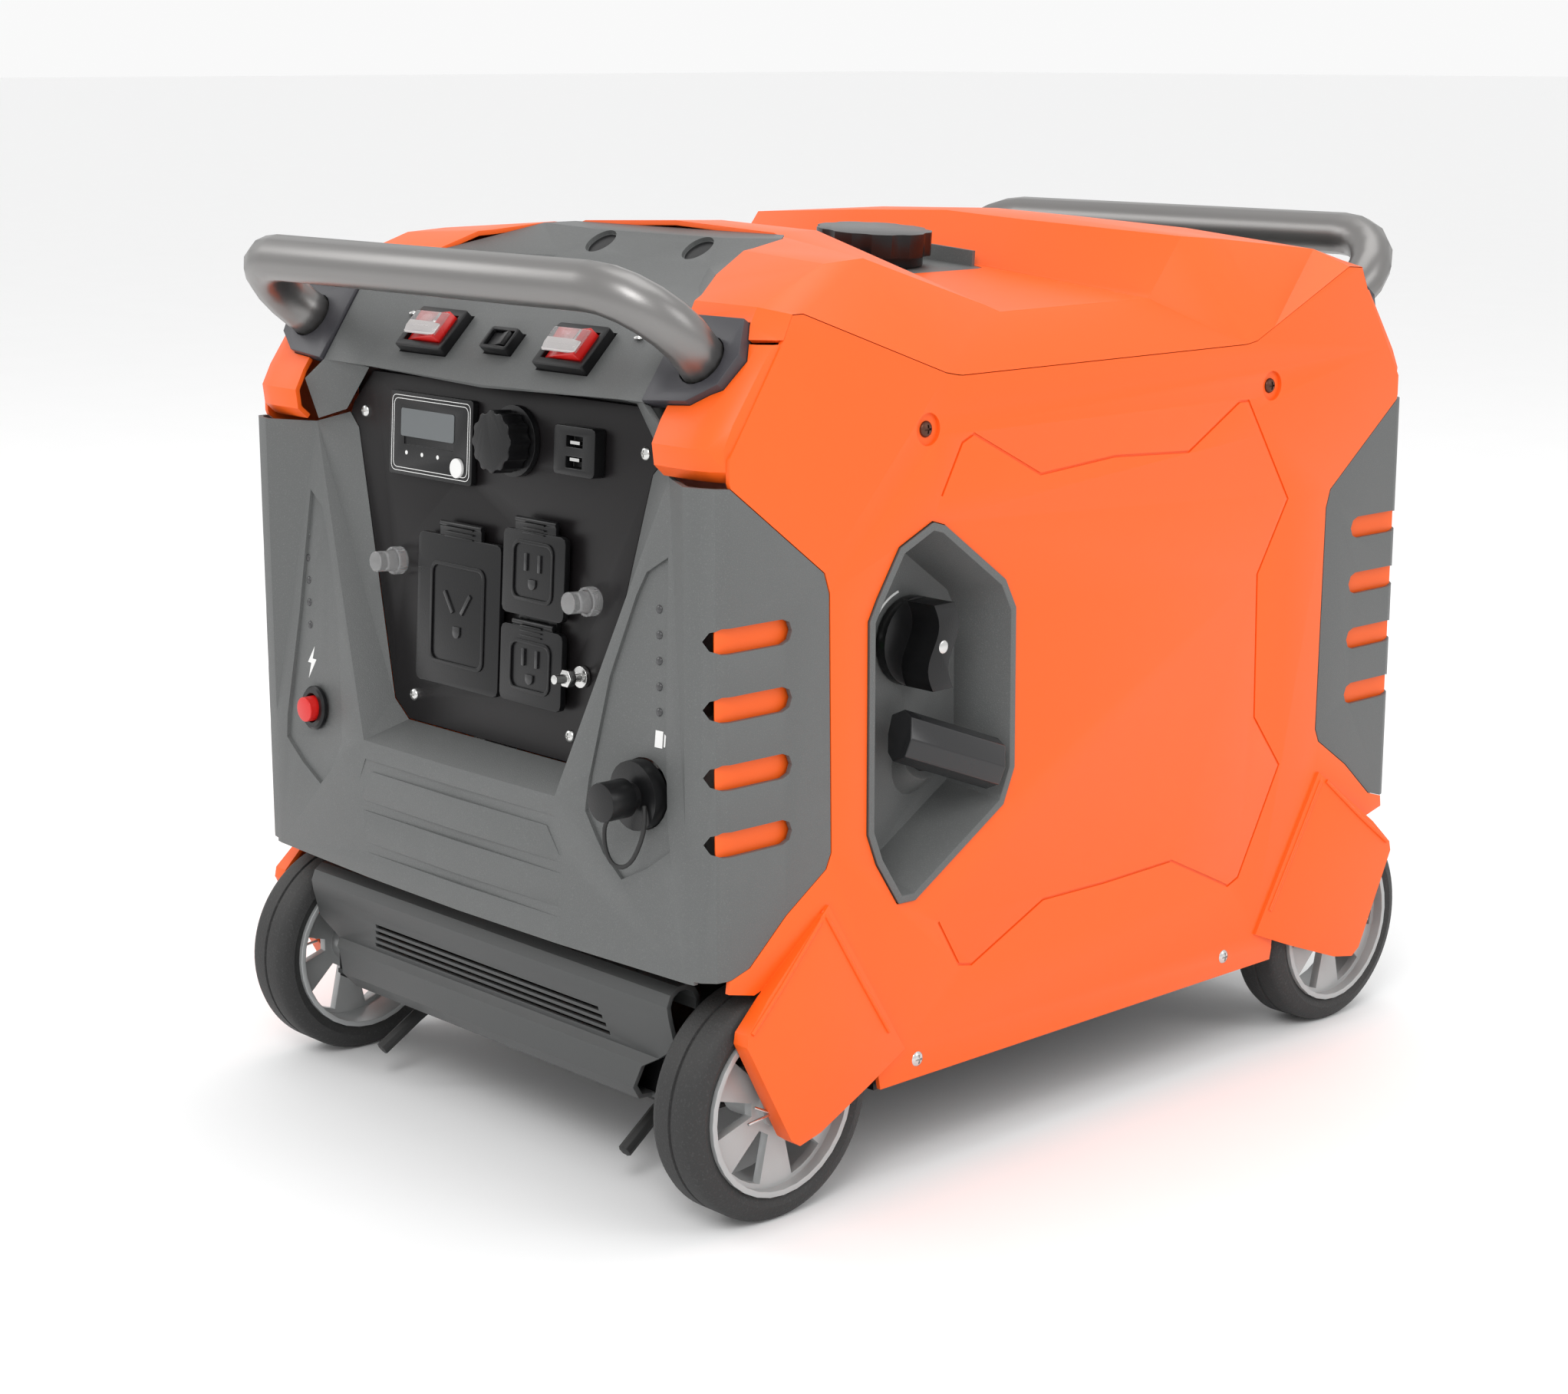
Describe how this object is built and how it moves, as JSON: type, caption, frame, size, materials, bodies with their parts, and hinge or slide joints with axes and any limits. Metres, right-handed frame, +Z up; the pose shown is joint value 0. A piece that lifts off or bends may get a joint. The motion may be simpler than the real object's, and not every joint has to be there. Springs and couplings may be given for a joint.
{
  "type": "portable generator",
  "caption": "Enclosed portable inverter generator on four wheels, with front control panel, switch console, recoil starter and two lifting handles.",
  "frame": {"origin": "on the ground, midway between the wheels and on the plane midway between the sides", "axes": "+X towards the side with the recoil starter, -Y towards the control panel, +Z up"},
  "size_m": [0.4732, 0.6996, 0.556],
  "materials": {
    "orange_plastic": "satin moulded orange",
    "grey_plastic": "fine-grained mid grey",
    "grey_steel": "grey powder coat",
    "slate_plastic": "dark slate grey",
    "black_plastic": "satin black",
    "black_rubber": "matte black",
    "panel_label": "near-black overlay",
    "satin_tube": "satin metallic grey",
    "tyre_rubber": "charcoal",
    "rim_plastic": "light silver grey",
    "bright_steel": "plain",
    "cast_alloy": "as cast",
    "red_plastic": "bright red",
    "clear_plastic": "clear",
    "pan_steel": "grey powder coat"
  },
  "bodies": {
    "frame": {"side_cover_right": "orange_plastic", "side_cover_left": "orange_plastic", "top_cover": "orange_plastic", "front_fascia": "grey_plastic", "rear_fascia": "grey_plastic", "console_hood": "grey_plastic", "starter_bezel": "grey_plastic", "filler_tray": "grey_plastic", "front_skid": "grey_steel", "front_handle_mount": "slate_plastic", "rear_handle_mount": "slate_plastic", "display_module": "black_plastic", "parallel_socket": "black_plastic", "usb_socket": "black_plastic", "rv_outlet": "black_plastic", "duplex_outlet": "black_plastic", "engine_switch": "black_plastic", "start_switch": "black_plastic", "eco_switch": "black_plastic", "gas_inlet": "black_plastic", "fuel_tank": "black_plastic", "battery": "black_plastic", "cap_tether": "black_rubber", "drain_hose_left": "black_rubber", "drain_hose_right": "black_rubber", "control_panel": "panel_label", "front_handle": "satin_tube", "rear_handle": "satin_tube", "front_axle": "bright_steel", "rear_axle": "bright_steel", "ground_terminal": "bright_steel", "engine": "cast_alloy", "muffler": "cast_alloy", "inverter_module": "cast_alloy", "base_pan": "pan_steel"},
    "wheel_front_left": {"tyre_front_left": "tyre_rubber", "rim_front_left": "rim_plastic"},
    "wheel_front_right": {"tyre_front_right": "tyre_rubber", "rim_front_right": "rim_plastic"},
    "wheel_rear_left": {"tyre_rear_left": "tyre_rubber", "rim_rear_left": "rim_plastic"},
    "wheel_rear_right": {"tyre_rear_right": "tyre_rubber", "rim_rear_right": "rim_plastic"},
    "rotor": {"rotor": "bright_steel"},
    "starter_reel": {"starter_reel": "black_plastic"},
    "starter_grip": {"starter_grip": "black_plastic"},
    "fuel_selector": {"fuel_selector": "black_plastic"},
    "fuel_cap": {"fuel_cap": "black_plastic"},
    "parallel_cap": {"parallel_cap": "black_plastic"},
    "gas_cap": {"gas_cap": "black_rubber"},
    "rv_flap": {"rv_flap": "black_plastic"},
    "duplex_flap_upper": {"duplex_flap_upper": "black_plastic"},
    "duplex_flap_lower": {"duplex_flap_lower": "black_plastic"},
    "breaker_left": {"breaker_left": "clear_plastic"},
    "breaker_right": {"breaker_right": "clear_plastic"},
    "reset_button": {"reset_button": "red_plastic"},
    "display_button": {"display_button": "clear_plastic"},
    "engine_rocker": {"engine_rocker": "red_plastic"},
    "start_rocker": {"start_rocker": "red_plastic"},
    "eco_rocker": {"eco_rocker": "black_plastic"}
  },
  "joints": [
    {"name": "wheel_front_left_spin", "type": "hinge", "parent": "frame", "child": "wheel_front_left", "pos_m": [-0.204, -0.2615, 0.07], "axis": [1, 0, 0], "continuous": true},
    {"name": "wheel_front_right_spin", "type": "hinge", "parent": "frame", "child": "wheel_front_right", "pos_m": [0.204, -0.2615, 0.07], "axis": [1, 0, 0], "continuous": true},
    {"name": "wheel_rear_left_spin", "type": "hinge", "parent": "frame", "child": "wheel_rear_left", "pos_m": [-0.204, 0.2615, 0.07], "axis": [1, 0, 0], "continuous": true},
    {"name": "wheel_rear_right_spin", "type": "hinge", "parent": "frame", "child": "wheel_rear_right", "pos_m": [0.204, 0.2615, 0.07], "axis": [1, 0, 0], "continuous": true},
    {"name": "crank_spin", "type": "hinge", "parent": "frame", "child": "rotor", "pos_m": [0, -0.025, 0.175], "axis": [1, 0, 0], "continuous": true},
    {"name": "starter_pull", "type": "slide", "parent": "frame", "child": "starter_grip", "axis": [0.908, 0, 0.419], "range_m": [0, 0.6], "stiffness_N_per_m": 25},
    {"name": "reel_spin", "type": "hinge", "parent": "frame", "child": "starter_reel", "pos_m": [0.129, -0.025, 0.175], "axis": [1, 0, 0], "range_deg": [0, 690]},
    {"name": "selector_turn", "type": "hinge", "parent": "frame", "child": "fuel_selector", "pos_m": [0.188, -0.129, 0.318], "axis": [1, 0, 0], "range_deg": [-90, 90]},
    {"name": "fuel_cap_turn", "type": "hinge", "parent": "frame", "child": "fuel_cap", "pos_m": [0.021, 0.005, 0.5235], "axis": [0.0698, 0, 0.9976], "range_deg": [0, 120]},
    {"name": "parallel_cap_pull", "type": "slide", "parent": "frame", "child": "parallel_cap", "axis": [0, -0.998, 0.0628], "range_m": [0, 0.03]},
    {"name": "gas_cap_pull", "type": "slide", "parent": "frame", "child": "gas_cap", "axis": [0, -1, 0], "range_m": [0, 0.02]},
    {"name": "rv_flap_hinge", "type": "hinge", "parent": "frame", "child": "rv_flap", "pos_m": [-0.025, -0.2946, 0.37885], "axis": [-1, 0, 0], "range_deg": [0, 100]},
    {"name": "duplex_flap_upper_hinge", "type": "hinge", "parent": "frame", "child": "duplex_flap_upper", "pos_m": [0.047, -0.29391, 0.38985], "axis": [-1, 0, 0], "range_deg": [0, 100]},
    {"name": "duplex_flap_lower_hinge", "type": "hinge", "parent": "frame", "child": "duplex_flap_lower", "pos_m": [0.047, -0.29772, 0.32935], "axis": [-1, 0, 0], "range_deg": [0, 100]},
    {"name": "breaker_left_push", "type": "slide", "parent": "frame", "child": "breaker_left", "axis": [0, 0.998, -0.0628], "range_m": [0, 0.003], "stiffness_N_per_m": 600},
    {"name": "breaker_right_push", "type": "slide", "parent": "frame", "child": "breaker_right", "axis": [0, 0.998, -0.0628], "range_m": [0, 0.003], "stiffness_N_per_m": 600},
    {"name": "reset_push", "type": "slide", "parent": "frame", "child": "reset_button", "axis": [0, 1, 0], "range_m": [0, 0.003], "stiffness_N_per_m": 600},
    {"name": "display_push", "type": "slide", "parent": "frame", "child": "display_button", "axis": [0, 0.998, -0.0628], "range_m": [0, 0.0012], "stiffness_N_per_m": 800},
    {"name": "engine_rocker_tilt", "type": "hinge", "parent": "frame", "child": "engine_rocker", "pos_m": [-0.07225, -0.27542, 0.48968], "axis": [0, 0.7071, 0.7071], "range_deg": [0, 12]},
    {"name": "start_rocker_tilt", "type": "hinge", "parent": "frame", "child": "start_rocker", "pos_m": [0.06325, -0.27613, 0.48897], "axis": [0, 0.7071, 0.7071], "range_deg": [0, 12], "stiffness_Nm_per_rad": 0.6},
    {"name": "eco_rocker_tilt", "type": "hinge", "parent": "frame", "child": "eco_rocker", "pos_m": [-0.0035, -0.27648, 0.48862], "axis": [0, 0.7071, 0.7071], "range_deg": [0, 12]}
  ],
  "couplings": [
    {"joint": "reel_spin", "follows": "starter_pull", "rad_per_m": 20}
  ]
}
